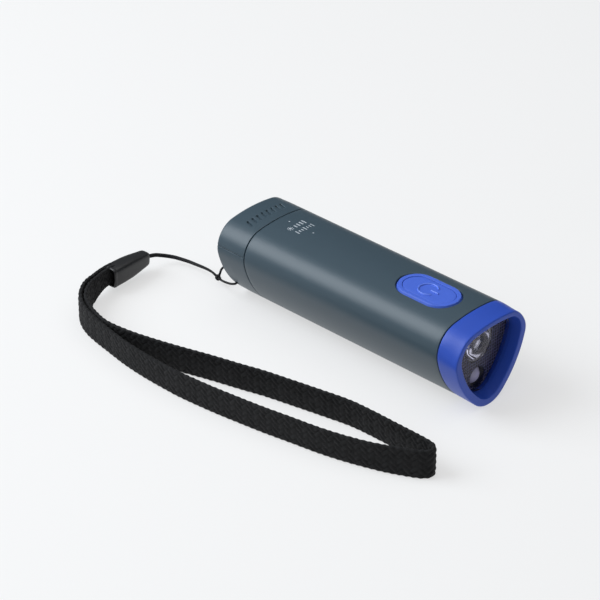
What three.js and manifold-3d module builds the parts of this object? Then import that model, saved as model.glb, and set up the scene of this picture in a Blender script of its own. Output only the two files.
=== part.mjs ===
// A pocket torch with a rounded-triangle body, a bright bezel and button, a pull-out battery
// carrier on its tail cap, and a wrist lanyard.
// Millimetres. +X is the way the light shines, +Z is up, and the button is on top.
// The origin is on the surface that the torch rests on, under the middle of the torch.

import * as THREE from 'three';
import { mergeVertices } from 'three/addons/utils/BufferGeometryUtils.js';
import Module from 'manifold-3d';

const wasm = await Module();
wasm.setup();

// ---------------------------------------------------------------- driving dimensions
const GAP = 0.3; // clearance between pieces that touch
const PRESS_GAP = 0.05; // between the pad's stem and the plunger it bears on

// the section: flat top with two round corners, sides that run down to a round bottom corner
const HALF_WIDTH = 17;
const HEIGHT = 31; // to the tangent of the top corners; the crown adds a little
const TOP_CORNER_R = 9;
const BOTTOM_CORNER_R = 9.4;
const TOP_ARC_R = 60;
const SIDE_ARC_R = 34.5;
const CORNER_STEPS = 10;
const SIDE_STEPS = 4;

// along the torch
const FRONT_X = 53.25;
const REAR_X = -53.25;
const BEZEL_SEAM_X = 44.75;
const CAP_SEAM_X = -40.45;
const FLARE = 0.4; // how far the bezel's rim stands proud of the body all round
const TOP_SLOPE = 0.9; // how much lower the top of the bezel is at its rim
const CAP_EDGE_R = 0.6;
const CAP_STEP = 0.15; // how far the cap's rear edge is set in from the body's outline
const LIFT = FLARE; // the torch rests on the rim, so the body stands this much higher

// walls, as distances in from the body's outline
const SHELL_WALL = 1.6;
const BEZEL_WALL = 3;
const SKIRT_OUTER = SHELL_WALL + GAP;
const CAP_WALL = 1.8;
const CAP_PARTING_Z = 23.2;
const SPIGOT_OUTER = CAP_WALL + GAP;
const SPIGOT_INNER = 3.5;

// light
const LENS_FRONT_X = 49.05;
const LENS_THICK = 1.6;
const MAIN_Z = 20.6;
const SIDE_Z = 7.8;
const MAIN_OPTIC_R = 6.5;
const SIDE_OPTIC_R = 3.3;
const OPTIC_REAR_X = 38.4;
const HOLDER_REAR_X = 38;
const LED_BOARD_X = 35.6;
const LED_BOARD_THICK = 1.2;
const SINK_X = 33.3;
const SINK_THICK = 2;
const BOARD_SCREW_Y = 9.4;
const LIGHT_PLATE_INSET = 5.2;

// button and switch
const BUTTON_X = 26.55;
const BUTTON_LENGTH = 23.6;
const BUTTON_WIDTH = 13.8;
const BUTTON_TOP_Z = 31.75;
const RIM_WIDTH = 1.8;
const SIGN_X = BUTTON_X - 0.4; // middle of the power sign
const SURROUND_FLANGE = 0.8;
const SWITCH_TOP_Z = 27;
const PLUNGER_TOP_Z = 28.1;
const DRIVER_TOP_Z = 24;
const DRIVER_FRONT_X = 31.2;
const DRIVER_SCREW_X = 16.5;
const DRIVER_SCREW_Y = 7.6;

// power
const CELL_R = 5.25;
const CELL_LENGTH = 44.5;
const CELL_REAR_X = -40.8;
const CELL_PLACES = [
  { y: -5.6, z: 20.6, nubForward: true },
  { y: 5.6, z: 20.6, nubForward: true },
  { y: 0, z: 10.6, nubForward: false },
];
const CARRIER_REAR_X = -46;
const CARRIER_FRONT_X = 8.9;
const CARRIER_PLATE = 2;
const BULKHEAD_X = 11.6;

// lanyard
const LANYARD_HOLE_R = 1;
const CORD_R = 0.65;
const STRAP_WIDTH = 10.6;
const STRAP_THICK = 1.4;
const STRAP_LOW_Z = 0.05;
const STRAP_LEAN = 1; // how far the long runs lean towards -Y at their top edge
const SQUEEZED_LOW_Z = 2.6; // the strap is gathered narrower where it enters the ferrule
const SQUEEZED_HIGH_Z = 9.6;
// The cord lies free between the lanyard eye and the ferrule.
const CORD_ROUTE = [
  [-54.5, -6.5, 7.0],
  [-56.6, -7.1, 5.6],
  [-59.2, -7.6, 4.2],
  [-62.1, -7.8, 3.0],
  [-65.6, -7.1, 3.4],
  [-69.0, -6.9, 3.4],
  [-73.2, -6.8, 3.0],
  [-77.4, -6.9, 2.7],
  [-80.4, -7.4, 2.6],
  [-82.9, -8.2, 2.7],
  [-84.9, -9.6, 3.0],
  [-86.2, -11.5, 3.6],
  [-86.9, -13.7, 4.4],
  [-87.0, -17.2, 5.4],
];
// The strap stands on its edge: out of the ferrule, round the bend, to the fold and back.
const STRAP_ROUTE = [
  [-88.0, -33.8],
  [-88.0, -36.5],
  [-87.6, -39.5],
  [-86.6, -43.3],
  [-84.6, -49.0],
  [-81.2, -54.0],
  [-77.4, -57.4],
  [-72.0, -60.1],
  [-66.0, -61.8],
  [-60.0, -63.0],
  [-51.0, -64.6],
  [-43.0, -65.5],
  [-35.5, -65.9],
  [-28.0, -66.0],
  [-21.5, -65.9],
  [-9.0, -64.8],
  [3.0, -63.2],
  [12.2, -61.8],
  [21.9, -60.0],
  [32.9, -58.0],
  [43.2, -55.3],
  [52.7, -51.9],
  [61.0, -47.8],
  [64.4, -45.7],
  [65.9, -43.6],
  [65.4, -41.6],
  [63.3, -40.5],
  [58.2, -40.1],
  [47.6, -39.8],
  [38.0, -39.8],
  [29.0, -40.3],
  [18.0, -42.4],
  [7.0, -44.7],
  [-2.6, -46.8],
  [-11.0, -49.2],
  [-21.8, -52.1],
  [-32.4, -55.3],
  [-43.3, -58.2],
  [-52.0, -60.0],
  [-60.5, -60.8],
  [-65.6, -60.1],
  [-71.4, -58.4],
  [-76.4, -55.9],
  [-79.9, -52.8],
  [-83.0, -48.1],
  [-85.0, -42.7],
  [-86.0, -39.2],
  [-86.4, -36.5],
  [-86.4, -33.8],
];
const STRAP_STEPS = 96;
const FERRULE_MOUTH = new THREE.Vector3(-86.3, -36.3, 5.7);
const FERRULE_NOSE = new THREE.Vector3(-86.9, -17.7, 5.6);

// ---------------------------------------------------------------- solids
// A closed three.js geometry as a solid that can be cut and joined.
function solid(geometry) {
  const bare = geometry.clone();
  bare.deleteAttribute('normal');
  bare.deleteAttribute('uv');
  const merged = mergeVertices(bare, 1e-4);
  const mesh = new wasm.Mesh({
    numProp: 3,
    vertProperties: new Float32Array(merged.attributes.position.array),
    triVerts: new Uint32Array(merged.index.array),
  });
  return new wasm.Manifold(mesh);
}

// A solid as a three.js geometry again.
function geometryOf(body) {
  const mesh = body.getMesh();
  const geometry = new THREE.BufferGeometry();
  geometry.setAttribute('position', new THREE.BufferAttribute(mesh.vertProperties, 3));
  geometry.setIndex(new THREE.BufferAttribute(mesh.triVerts, 1));
  return geometry;
}

function cut(geometry, ...tools) {
  return geometryOf(tools.reduce((left, tool) => left.subtract(solid(tool)), solid(geometry)));
}

function join(geometry, ...others) {
  return geometryOf(others.reduce((all, other) => all.add(solid(other)), solid(geometry)));
}

function common(geometry, other) {
  return geometryOf(solid(geometry).intersect(solid(other)));
}

// ---------------------------------------------------------------- the section
// The arc between two corners: it touches both corner circles from inside.
function arcBetween(from, to, radius) {
  const gapY = to.y - from.y;
  const gapZ = to.z - from.z;
  const apart = Math.hypot(gapY, gapZ);
  const a = radius - from.r;
  const b = radius - to.r;
  const along = (apart * apart + a * a - b * b) / (2 * apart);
  const aside = Math.sqrt(a * a - along * along);
  const y = from.y + (gapY * along - gapZ * aside) / apart;
  const z = from.z + (gapZ * along + gapY * aside) / apart;
  return {
    y,
    z,
    r: radius,
    start: Math.atan2(from.z - z, from.y - y),
    end: Math.atan2(to.z - z, to.y - y),
    steps: SIDE_STEPS,
  };
}

// The six arcs of the section, anticlockwise as seen from the front.
function sectionArcs() {
  const cornerY = HALF_WIDTH - TOP_CORNER_R;
  const cornerZ = HEIGHT - TOP_CORNER_R;
  const corners = [
    { y: cornerY, z: cornerZ, r: TOP_CORNER_R, nextArc: TOP_ARC_R },
    { y: -cornerY, z: cornerZ, r: TOP_CORNER_R, nextArc: SIDE_ARC_R },
    { y: 0, z: BOTTOM_CORNER_R, r: BOTTOM_CORNER_R, nextArc: SIDE_ARC_R },
  ];
  const sides = corners.map((c, i) => arcBetween(c, corners[(i + 1) % 3], c.nextArc));
  return corners.flatMap((c, i) => {
    const before = sides[(i + 2) % 3];
    const corner = { ...c, start: before.end, end: sides[i].start, steps: CORNER_STEPS };
    return [corner, sides[i]];
  });
}

const ARCS = sectionArcs();

// The section's outline pulled in by `inset`, as [y, z] points.
function outline(inset) {
  return ARCS.flatMap((arc) => {
    const turn = THREE.MathUtils.euclideanModulo(arc.end - arc.start, 2 * Math.PI);
    return Array.from({ length: arc.steps }, (_, i) => {
      const angle = arc.start + (turn * i) / arc.steps;
      const radius = arc.r - inset;
      return [arc.y + radius * Math.cos(angle), arc.z + radius * Math.sin(angle)];
    });
  });
}

// Rings of equal point counts skinned into one closed geometry. A looped skin joins its last
// ring to its first, and any other skin is closed by a fan at each end.
function skin(rings, looped) {
  const count = rings[0].length;
  const points = rings.flat();
  const triangles = [];
  const bands = looped ? rings.length : rings.length - 1;
  for (let i = 0; i < bands; i += 1) {
    const here = i * count;
    const there = ((i + 1) % rings.length) * count;
    for (let j = 0; j < count; j += 1) {
      const k = (j + 1) % count;
      triangles.push(here + j, here + k, there + j, here + k, there + k, there + j);
    }
  }
  if (!looped) {
    const last = (rings.length - 1) * count;
    const first = points.length;
    points.push(middle(rings[0]), middle(rings[rings.length - 1]));
    for (let j = 0; j < count; j += 1) {
      const k = (j + 1) % count;
      triangles.push(first, k, j, first + 1, last + j, last + k);
    }
  }
  return facingOut(points, triangles);
}

function middle(ring) {
  const sum = ring.reduce((all, p) => all.add(p), new THREE.Vector3());
  return sum.divideScalar(ring.length);
}

// The geometry with its triangles turned so that its volume is positive.
function facingOut(points, triangles) {
  let volume = 0;
  for (let i = 0; i < triangles.length; i += 3) {
    const [a, b, c] = [0, 1, 2].map((j) => points[triangles[i + j]]);
    volume += a.dot(new THREE.Vector3().crossVectors(b, c));
  }
  const geometry = new THREE.BufferGeometry().setFromPoints(points);
  geometry.setIndex(volume > 0 ? triangles : triangles.slice().reverse());
  return geometry;
}

// A skin over section outlines, from a profile of [x, inset] pairs.
function loft(profile, looped = false) {
  const ringAt = ([x, inset]) => outline(inset).map(([y, z]) => new THREE.Vector3(x, y, z));
  return skin(profile.map(ringAt), looped);
}

// A tube of the section's shape between two insets.
function sectionTube(fromX, toX, outer, inner) {
  return loft([[fromX, outer], [toX, outer], [toX, inner], [fromX, inner]], true);
}

// ---------------------------------------------------------------- plain shapes
function box(x0, x1, y0, y1, z0, z1) {
  const geometry = new THREE.BoxGeometry(x1 - x0, y1 - y0, z1 - z0);
  return geometry.translate((x0 + x1) / 2, (y0 + y1) / 2, (z0 + z1) / 2);
}

// A turned piece about an axis along X, from [x, radius] pairs that start and end on the axis.
function turned(profile, y, z, segments = 24) {
  const forward = profile[0][0] < profile[profile.length - 1][0];
  const ordered = forward ? profile : profile.slice().reverse();
  const points = ordered.map(([x, radius]) => new THREE.Vector2(radius, x));
  const geometry = new THREE.LatheGeometry(points, segments);
  return geometry.rotateZ(-Math.PI / 2).translate(0, y, z);
}

function rod(x0, x1, radius, y, z, segments = 24) {
  return turned([[x0, 0], [x0, radius], [x1, radius], [x1, 0]], y, z, segments);
}

function post(x, y, z0, z1, radius, segments = 20) {
  const geometry = new THREE.CylinderGeometry(radius, radius, z1 - z0, segments);
  return geometry.rotateX(Math.PI / 2).translate(x, y, (z0 + z1) / 2);
}

// An outline with straight sides and round ends, lying along X.
function stadium(length, width) {
  const shape = new THREE.Shape();
  const radius = width / 2;
  const half = length / 2 - radius;
  shape.absarc(half, 0, radius, -Math.PI / 2, Math.PI / 2);
  shape.absarc(-half, 0, radius, Math.PI / 2, (3 * Math.PI) / 2);
  return shape;
}

function extruded(shape, x, z0, z1, curveSegments = 10) {
  const geometry = new THREE.ExtrudeGeometry(shape, {
    depth: z1 - z0,
    bevelEnabled: false,
    curveSegments,
  });
  return geometry.translate(x, 0, z0);
}

function circleShape(radius) {
  return new THREE.Shape().absarc(0, 0, radius, 0, 2 * Math.PI);
}

// A round tube along a curve.
function swept(curve, radius, steps, sides = 8) {
  return new THREE.ExtrudeGeometry(circleShape(radius), {
    steps,
    extrudePath: curve,
    curveSegments: sides,
  });
}

// A coil about an axis along X.
class Coil extends THREE.Curve {
  constructor(x0, x1, radius, turns) {
    super();
    Object.assign(this, { x0, x1, radius, turns });
  }

  getPoint(t, target = new THREE.Vector3()) {
    const angle = 2 * Math.PI * this.turns * t;
    const x = THREE.MathUtils.lerp(this.x0, this.x1, t);
    return target.set(x, this.radius * Math.cos(angle), this.radius * Math.sin(angle));
  }
}

function spring(x0, x1, radius, wire, turns) {
  const coil = new Coil(x0 + wire, x1 - wire, radius, turns);
  return swept(coil, wire, turns * 10, 6);
}

// ---------------------------------------------------------------- housing
function bodyShell() {
  const tube = sectionTube(CAP_SEAM_X + GAP / 2, BEZEL_SEAM_X - GAP / 2, 0, SHELL_WALL);
  const slot = stadium(BUTTON_LENGTH + 2 * GAP, BUTTON_WIDTH + 2 * GAP);
  return cut(tube, extruded(slot, BUTTON_X, HEIGHT - 4, HEIGHT + 4, 16));
}

// How much lower the bezel's outside is at a point than the body's outline: the flat top
// slopes down towards the rim, and the inside of the lip does not.
function topSlope(x, inset, z) {
  const towardsRim = THREE.MathUtils.smoothstep(x, BEZEL_SEAM_X, FRONT_X);
  const nearTop = THREE.MathUtils.smoothstep(z, HEIGHT - 11, HEIGHT - 3);
  const outside = THREE.MathUtils.clamp(1 - inset / (BEZEL_WALL - 0.6), 0, 1);
  return TOP_SLOPE * towardsRim * nearTop * outside;
}

function frontBezel() {
  const seam = BEZEL_SEAM_X + GAP / 2;
  const skirtEnd = BEZEL_SEAM_X - 3.9;
  const profile = [
    [seam, 0],
    [seam + 2, -0.05],
    [FRONT_X - 3, -0.75 * FLARE],
    [FRONT_X - 1.2, -FLARE],
    [FRONT_X - 0.4, -0.6 * FLARE],
    [FRONT_X, 0.55],
    [FRONT_X, 1.35],
    [FRONT_X - 0.4, 2.1],
    [FRONT_X - 1.3, BEZEL_WALL - 0.4],
    [LENS_FRONT_X, BEZEL_WALL],
    [skirtEnd, BEZEL_WALL],
    [skirtEnd, SKIRT_OUTER],
    [seam, SKIRT_OUTER],
  ];
  const rings = profile.map(([x, inset]) => outline(inset).map(([y, z]) =>
    new THREE.Vector3(x, y, z - topSlope(x, inset, z))));
  return skin(rings, true);
}

// ---------------------------------------------------------------- light
function lensWindow() {
  const inset = BEZEL_WALL + GAP;
  return loft([[LENS_FRONT_X - LENS_THICK, inset], [LENS_FRONT_X, inset]]);
}

function opticHolder() {
  const front = LENS_FRONT_X - LENS_THICK - GAP;
  const inset = BEZEL_WALL + GAP;
  const block = loft([[HOLDER_REAR_X, inset], [front, inset]]);
  const screwHoles = [-1, 1].map((side) =>
    rod(HOLDER_REAR_X - 1, HOLDER_REAR_X + 5, 1.3, side * BOARD_SCREW_Y, MAIN_Z, 16));
  // room for the end of the button's surround
  const notch = box(HOLDER_REAR_X - 1, 40.8, -15, 15, 27.9, HEIGHT);
  return cut(
    block,
    notch,
    rod(HOLDER_REAR_X - 1, front + 1, MAIN_OPTIC_R + GAP, 0, MAIN_Z, 32),
    rod(HOLDER_REAR_X - 1, front + 1, SIDE_OPTIC_R + GAP, 0, SIDE_Z, 24),
    ...screwHoles,
  );
}

// A solid cone collimator with a pocket for the light source behind.
function mainOptic() {
  const front = LENS_FRONT_X - LENS_THICK - GAP;
  const profile = [
    [front, 0],
    [front, MAIN_OPTIC_R],
    [front - 1.1, MAIN_OPTIC_R],
    [front - 1.2, MAIN_OPTIC_R - 0.5],
    [front - 4.4, 4.9],
    [OPTIC_REAR_X, 2.7],
    [OPTIC_REAR_X, 1.8],
    [OPTIC_REAR_X + 2.4, 1.7],
    [OPTIC_REAR_X + 2.7, 0],
  ];
  return turned(profile, 0, MAIN_Z, 32);
}

function sideOptic() {
  const front = LENS_FRONT_X - LENS_THICK - GAP;
  const profile = [
    [front, 0],
    [front - 0.4, 1.8],
    [front - 1.2, 2.9],
    [front - 1.8, SIDE_OPTIC_R],
    [front - 3.2, SIDE_OPTIC_R],
    [front - 3.2, 2.2],
    [OPTIC_REAR_X, 2.2],
    [OPTIC_REAR_X, 0],
  ];
  return turned(profile, 0, SIDE_Z);
}

function lightPlate(x, thick, screwHole) {
  const plate = loft([[x, LIGHT_PLATE_INSET], [x + thick, LIGHT_PLATE_INSET]]);
  const holes = [-1, 1].map((side) =>
    rod(x - 1, x + thick + 1, screwHole, side * BOARD_SCREW_Y, MAIN_Z, 16));
  return cut(plate, ...holes);
}

function led(width, domeR, z) {
  const base = LED_BOARD_X + LED_BOARD_THICK + GAP;
  const half = width / 2;
  const body = box(base, base + 1, -half, half, z - half, z + half);
  const dome = turned(
    [[base + 0.5, 0], [base + 0.5, domeR], [base + 1.1, domeR], [base + 1.9, domeR * 0.7], [base + 2.2, 0]],
    0,
    z,
    16,
  );
  return domeR > 0 ? join(body, dome) : body;
}

function boardScrew(side) {
  const headRear = SINK_X - GAP - 1.3;
  const profile = [
    [headRear, 0],
    [headRear, 1.5],
    [headRear + 0.3, 1.9],
    [headRear + 1.3, 1.9],
    [headRear + 1.3, 1],
    [HOLDER_REAR_X + 3.6, 1],
    [HOLDER_REAR_X + 4.4, 0],
  ];
  return turned(profile, side * BOARD_SCREW_Y, MAIN_Z, 16);
}

// ---------------------------------------------------------------- button and switch
function buttonSurround() {
  const flangeTop = HEIGHT - SHELL_WALL - GAP;
  const flangeBottom = flangeTop - SURROUND_FLANGE;
  const edge = stadium(BUTTON_LENGTH, BUTTON_WIDTH);
  const ring = extruded(edge, BUTTON_X, flangeBottom, BUTTON_TOP_Z, 12);
  const flange = extruded(
    stadium(BUTTON_LENGTH + 2.4, BUTTON_WIDTH + 2.4), BUTTON_X, flangeBottom, flangeTop, 12,
  );
  const hole = stadium(BUTTON_LENGTH - 2 * RIM_WIDTH, BUTTON_WIDTH - 2 * RIM_WIDTH);
  return cut(join(ring, flange), extruded(hole, BUTTON_X, flangeBottom - 1, HEIGHT + 3, 12));
}

// The raised power sign: an open ring with a bar in its gap, which faces the front.
function powerSign(z0, z1) {
  const outer = 3.7;
  const inner = 3;
  const opening = Math.PI / 5;
  const ring = new THREE.Shape();
  ring.absarc(0, 0, outer, opening, 2 * Math.PI - opening, false);
  ring.absarc(0, 0, inner, 2 * Math.PI - opening, opening, true);
  const bar = box(SIGN_X + 1.2, SIGN_X + 4.2, -0.35, 0.35, z0, z1);
  return [extruded(ring, SIGN_X, z0, z1, 12), bar];
}

function buttonPad() {
  const length = BUTTON_LENGTH - 2 * RIM_WIDTH - 2 * GAP;
  const width = BUTTON_WIDTH - 2 * RIM_WIDTH - 2 * GAP;
  const top = BUTTON_TOP_Z - 0.2;
  const flangeTop = HEIGHT - SHELL_WALL - GAP - SURROUND_FLANGE - GAP;
  const flangeBottom = flangeTop - 0.7;
  const wall = 1.1;
  const body = extruded(stadium(length, width), BUTTON_X, flangeBottom, top, 12);
  const flange = extruded(stadium(length + 1.2, width + 2), BUTTON_X, flangeBottom, flangeTop, 12);
  const hollow = extruded(
    stadium(length - 2 * wall, width - 2 * wall), BUTTON_X, flangeBottom - 1, top - 1.5, 12,
  );
  const stem = post(BUTTON_X, 0, PLUNGER_TOP_Z + PRESS_GAP, top - 0.5, 1.5);
  return join(cut(join(body, flange), hollow), stem, ...powerSign(top - 0.3, top + 0.2));
}

function switchBody() {
  const half = 2.5;
  const block = box(BUTTON_X - half, BUTTON_X + half, -half, half, DRIVER_TOP_Z + GAP, SWITCH_TOP_Z);
  return cut(block, post(BUTTON_X, 0, SWITCH_TOP_Z - 2, SWITCH_TOP_Z + 1, 2));
}

function switchPlunger() {
  return post(BUTTON_X, 0, SWITCH_TOP_Z - 1.1, PLUNGER_TOP_Z, 1.7);
}

function driverBoard() {
  const board = box(14.5, DRIVER_FRONT_X, -9.5, 9.5, DRIVER_TOP_Z - 1.2, DRIVER_TOP_Z);
  const holes = [-1, 1].map((side) =>
    post(DRIVER_SCREW_X, side * DRIVER_SCREW_Y, DRIVER_TOP_Z - 2, DRIVER_TOP_Z + 1, 1.2));
  return cut(board, ...holes);
}

function chassis() {
  const inset = SHELL_WALL + 2 * GAP;
  const bulkhead = loft([[BULKHEAD_X, inset], [BULKHEAD_X + 1.8, inset]]);
  const railTop = DRIVER_TOP_Z - 1.2 - GAP;
  const rails = [-1, 1].map((side) =>
    box(BULKHEAD_X + 1, DRIVER_FRONT_X, side * DRIVER_SCREW_Y - 1.6, side * DRIVER_SCREW_Y + 1.6,
      railTop - 2.4, railTop));
  const holes = [-1, 1].map((side) =>
    post(DRIVER_SCREW_X, side * DRIVER_SCREW_Y, railTop - 2, railTop + 1, 1.1));
  return cut(join(bulkhead, ...rails), ...holes);
}

function driverScrew(side) {
  const y = side * DRIVER_SCREW_Y;
  const railTop = DRIVER_TOP_Z - 1.2 - GAP;
  const shank = post(DRIVER_SCREW_X, y, railTop - 1.6, DRIVER_TOP_Z + 0.6, 0.8, 14);
  return join(shank, post(DRIVER_SCREW_X, y, DRIVER_TOP_Z + GAP, DRIVER_TOP_Z + 1.3, 1.6, 14));
}

// ---------------------------------------------------------------- power
function battery(place) {
  const rear = CELL_REAR_X;
  const front = rear + CELL_LENGTH;
  const profile = [
    [rear, 0],
    [rear, 4.2],
    [rear + 0.4, CELL_R],
    [front - 1.4, CELL_R],
    [front - 1, 4.4],
    [front - 1, 1.9],
    [front, 1.9],
    [front, 0],
  ];
  const placed = place.nubForward ? profile : profile.map(([x, r]) => [rear + front - x, r]);
  return turned(placed, place.y, place.z, 20);
}

function batteryCarrier() {
  const rear = loft([[CARRIER_REAR_X, 3.8], [CARRIER_REAR_X + CARRIER_PLATE, 3.8]]);
  const inset = SHELL_WALL + 2 * GAP;
  const front = loft([[CARRIER_FRONT_X - CARRIER_PLATE, inset], [CARRIER_FRONT_X, inset]]);
  const rails = [[-8, 13.4, 1.2], [8, 13.4, 1.2], [0, 26.5, 1.2]].map(([y, z, half]) =>
    box(CARRIER_REAR_X + 0.5, CARRIER_FRONT_X - 0.5, y - half, y + half, z - half, z + half));
  return join(rear, front, ...rails);
}

// One end of a cell has a spring, and the other a flat contact.
function cellSpring(place) {
  const atRear = place.nubForward;
  const x0 = atRear ? CARRIER_REAR_X + CARRIER_PLATE + GAP : CELL_REAR_X + CELL_LENGTH + GAP;
  return spring(x0, x0 + 2.6, 3, 0.3, 3).translate(0, place.y, place.z);
}

function cellContact(place) {
  const atRear = !place.nubForward;
  const x0 = atRear ? CELL_REAR_X - GAP - 0.5 : CELL_REAR_X + CELL_LENGTH + GAP;
  return rod(x0, x0 + 0.5, 3.2, place.y, place.z, 16);
}

function negativeLeaf() {
  const foot = box(BULKHEAD_X - GAP - 0.4, BULKHEAD_X - GAP, -2, 2, 6, 13);
  const blade = box(0, 0.4, -2, 2, 0, 4).rotateY(-Math.PI / 8);
  return join(foot, blade.translate(BULKHEAD_X - GAP - 0.5, 0, 5.9));
}

// ---------------------------------------------------------------- tail cap
function capOutside() {
  const seam = CAP_SEAM_X - GAP / 2;
  const round = Array.from({ length: 5 }, (_, i) => {
    const angle = (i / 4) * (Math.PI / 2);
    const forward = CAP_EDGE_R * (1 - Math.sin(angle));
    return [REAR_X + forward, CAP_STEP + CAP_EDGE_R * (1 - Math.cos(angle))];
  });
  return loft([[seam, 0], ...round]);
}

function tailCap() {
  const outside = capOutside();
  const seam = CAP_SEAM_X - GAP / 2;
  const cavity = loft([[seam + 1, CAP_WALL], [REAR_X + 3.4, CAP_WALL], [REAR_X + 2, CAP_WALL + 1.6]]);
  const boss = common(outside, box(REAR_X - 1, REAR_X + 6.4, -14, -2, -1, 12));
  return join(cut(outside, cavity), boss);
}

// The lanyard's hole runs from the side of the cap's lower rear edge out to its rear face.
function lanyardHole() {
  const from = new THREE.Vector3(REAR_X + 4.05, -12.4, 4.5);
  const to = new THREE.Vector3(REAR_X - 1.35, -4, 8.8);
  return swept(new THREE.LineCurve3(from, to), LANYARD_HOLE_R, 1, 12);
}

function tailCapHalf(upper) {
  const far = 60;
  const low = upper ? CAP_PARTING_Z + GAP / 2 : -far;
  const high = upper ? far : CAP_PARTING_Z - GAP / 2;
  const half = common(tailCap(), box(REAR_X - 5, 0, -far, far, low, high));
  return upper ? half : cut(half, lanyardHole());
}

function capSpigot() {
  const rear = REAR_X + 7.2;
  const front = CAP_SEAM_X + 5.5;
  const tube = sectionTube(rear, front, SPIGOT_OUTER, SPIGOT_INNER);
  const groove = sectionTube(CAP_SEAM_X + 1.9, CAP_SEAM_X + 3.7, 0, SPIGOT_OUTER + 0.8);
  return cut(tube, groove);
}

function capSeal() {
  return sectionTube(CAP_SEAM_X + 2.2, CAP_SEAM_X + 3.4, SHELL_WALL + GAP, SPIGOT_OUTER + 0.5);
}

// ---------------------------------------------------------------- lanyard
function lanyardCord() {
  const curve = new THREE.CatmullRomCurve3(CORD_ROUTE.map((p) => new THREE.Vector3(...p)));
  return swept(curve, CORD_R, 24);
}

// A section of the strap as four corners, square to its route at one point.
function strapRing(point, tangent) {
  const { smoothstep, lerp } = THREE.MathUtils;
  const atFerrule = smoothstep(point.y, -52, -38) * smoothstep(-point.x, 60, 75);
  const onRuns = smoothstep(point.x, -80, -55) * smoothstep(-point.x, -64, -45);
  const edges = [
    { z: lerp(STRAP_LOW_Z, SQUEEZED_LOW_Z, atFerrule), lean: STRAP_LEAN / 2 },
    { z: lerp(STRAP_LOW_Z + STRAP_WIDTH, SQUEEZED_HIGH_Z, atFerrule), lean: -STRAP_LEAN / 2 },
  ];
  const side = new THREE.Vector3(tangent.y, -tangent.x, 0).setLength(STRAP_THICK / 2);
  const corner = (edge, way) =>
    new THREE.Vector3(point.x, point.y + edge.lean * onRuns, edge.z).addScaledVector(side, way);
  const [low, high] = edges;
  return [corner(low, -1), corner(low, 1), corner(high, 1), corner(high, -1)];
}

function wristStrap() {
  const curve = new THREE.CatmullRomCurve3(STRAP_ROUTE.map(([x, y]) => new THREE.Vector3(x, y, 0)));
  const rings = Array.from({ length: STRAP_STEPS + 1 }, (_, i) =>
    strapRing(curve.getPointAt(i / STRAP_STEPS), curve.getTangentAt(i / STRAP_STEPS)));
  return skin(rings, false);
}

// A tapered sleeve: a tall rounded section at the strap's end, a small one at the cord's end.
function ferruleRing(t, halfWide, halfTall) {
  const centre = new THREE.Vector3().lerpVectors(FERRULE_MOUTH, FERRULE_NOSE, t);
  const along = new THREE.Vector3().subVectors(FERRULE_NOSE, FERRULE_MOUTH).normalize();
  const across = new THREE.Vector3(along.y, -along.x, 0).normalize();
  return Array.from({ length: 20 }, (_, i) => {
    const angle = ((i + 0.5) / 20) * 2 * Math.PI;
    const squareness = 0.55;
    const wide = halfWide * Math.sign(Math.cos(angle)) * Math.abs(Math.cos(angle)) ** squareness;
    const tall = halfTall * Math.sign(Math.sin(angle)) * Math.abs(Math.sin(angle)) ** squareness;
    return centre.clone().addScaledVector(across, wide).add(new THREE.Vector3(0, 0, tall));
  });
}

function lanyardFerrule() {
  const outside = skin([
    ferruleRing(0, 3.2, 3.7),
    ferruleRing(0.45, 3.1, 3.6),
    ferruleRing(0.8, 2.6, 3),
    ferruleRing(0.96, 2.2, 2.6),
    ferruleRing(1, 1.8, 2.2),
  ], false);
  // The slot for the strap's ends is open above and below.
  const slot = skin([ferruleRing(-0.1, 2.75, 5.6), ferruleRing(0.2, 2.75, 5.6)], false);
  const end = FERRULE_MOUTH.y + 2.7;
  return cut(outside, common(slot, box(-92, -82, end - 6, end, -2, 14)));
}

// ---------------------------------------------------------------- materials
function paint(color, roughness = 0.5, metalness = 0) {
  return new THREE.MeshStandardMaterial({ color, roughness, metalness });
}

const SLATE = paint(0x4a5861, 0.45);
const BLUE = paint(0x3d55c4, 0.4);
const BUTTON_BLUE = paint(0x4868d4, 0.5);
const BLACK = paint(0x1c1c1e, 0.6);
const CLEAR = paint(0xc8ccd8, 0.1);
const GREEN_BOARD = paint(0x20603a, 0.5);
const WHITE_BOARD = paint(0xe8e8e4, 0.5);
const STEEL = paint(0xb8bcc0, 0.3, 0.9);
const BRASS = paint(0xc8a860, 0.3, 0.9);
const ALUMINIUM = paint(0xb0b4b8, 0.35, 0.8);
const YELLOW = paint(0xe8d860, 0.4);
const CELL_JACKET = paint(0x5a5e64, 0.4);
const WEBBING = paint(0x18181a, 0.9);
const RED = paint(0xa02020, 0.5);

// ---------------------------------------------------------------- assembly
const torch = new THREE.Group();
torch.position.z = LIFT;

function piece(name, geometry, material, parent = torch) {
  const mesh = new THREE.Mesh(geometry, material);
  mesh.name = name;
  parent.add(mesh);
}

piece('body_shell', bodyShell(), SLATE);
piece('front_bezel', frontBezel(), BLUE);

piece('lens_window', lensWindow(), CLEAR);
piece('optic_holder', opticHolder(), BLACK);
piece('main_optic', mainOptic(), CLEAR);
piece('side_optic', sideOptic(), CLEAR);
piece('led_board', lightPlate(LED_BOARD_X, LED_BOARD_THICK, 1.3), WHITE_BOARD);
piece('heat_sink_plate', lightPlate(SINK_X, SINK_THICK, 1.3), ALUMINIUM);
piece('main_led', led(3.4, 1.3, MAIN_Z), YELLOW);
piece('side_led', led(2.6, 0, SIDE_Z), YELLOW);
[-1, 1].forEach((side) => piece(`board_screw_${side < 0 ? 'left' : 'right'}`, boardScrew(side), STEEL));

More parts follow.
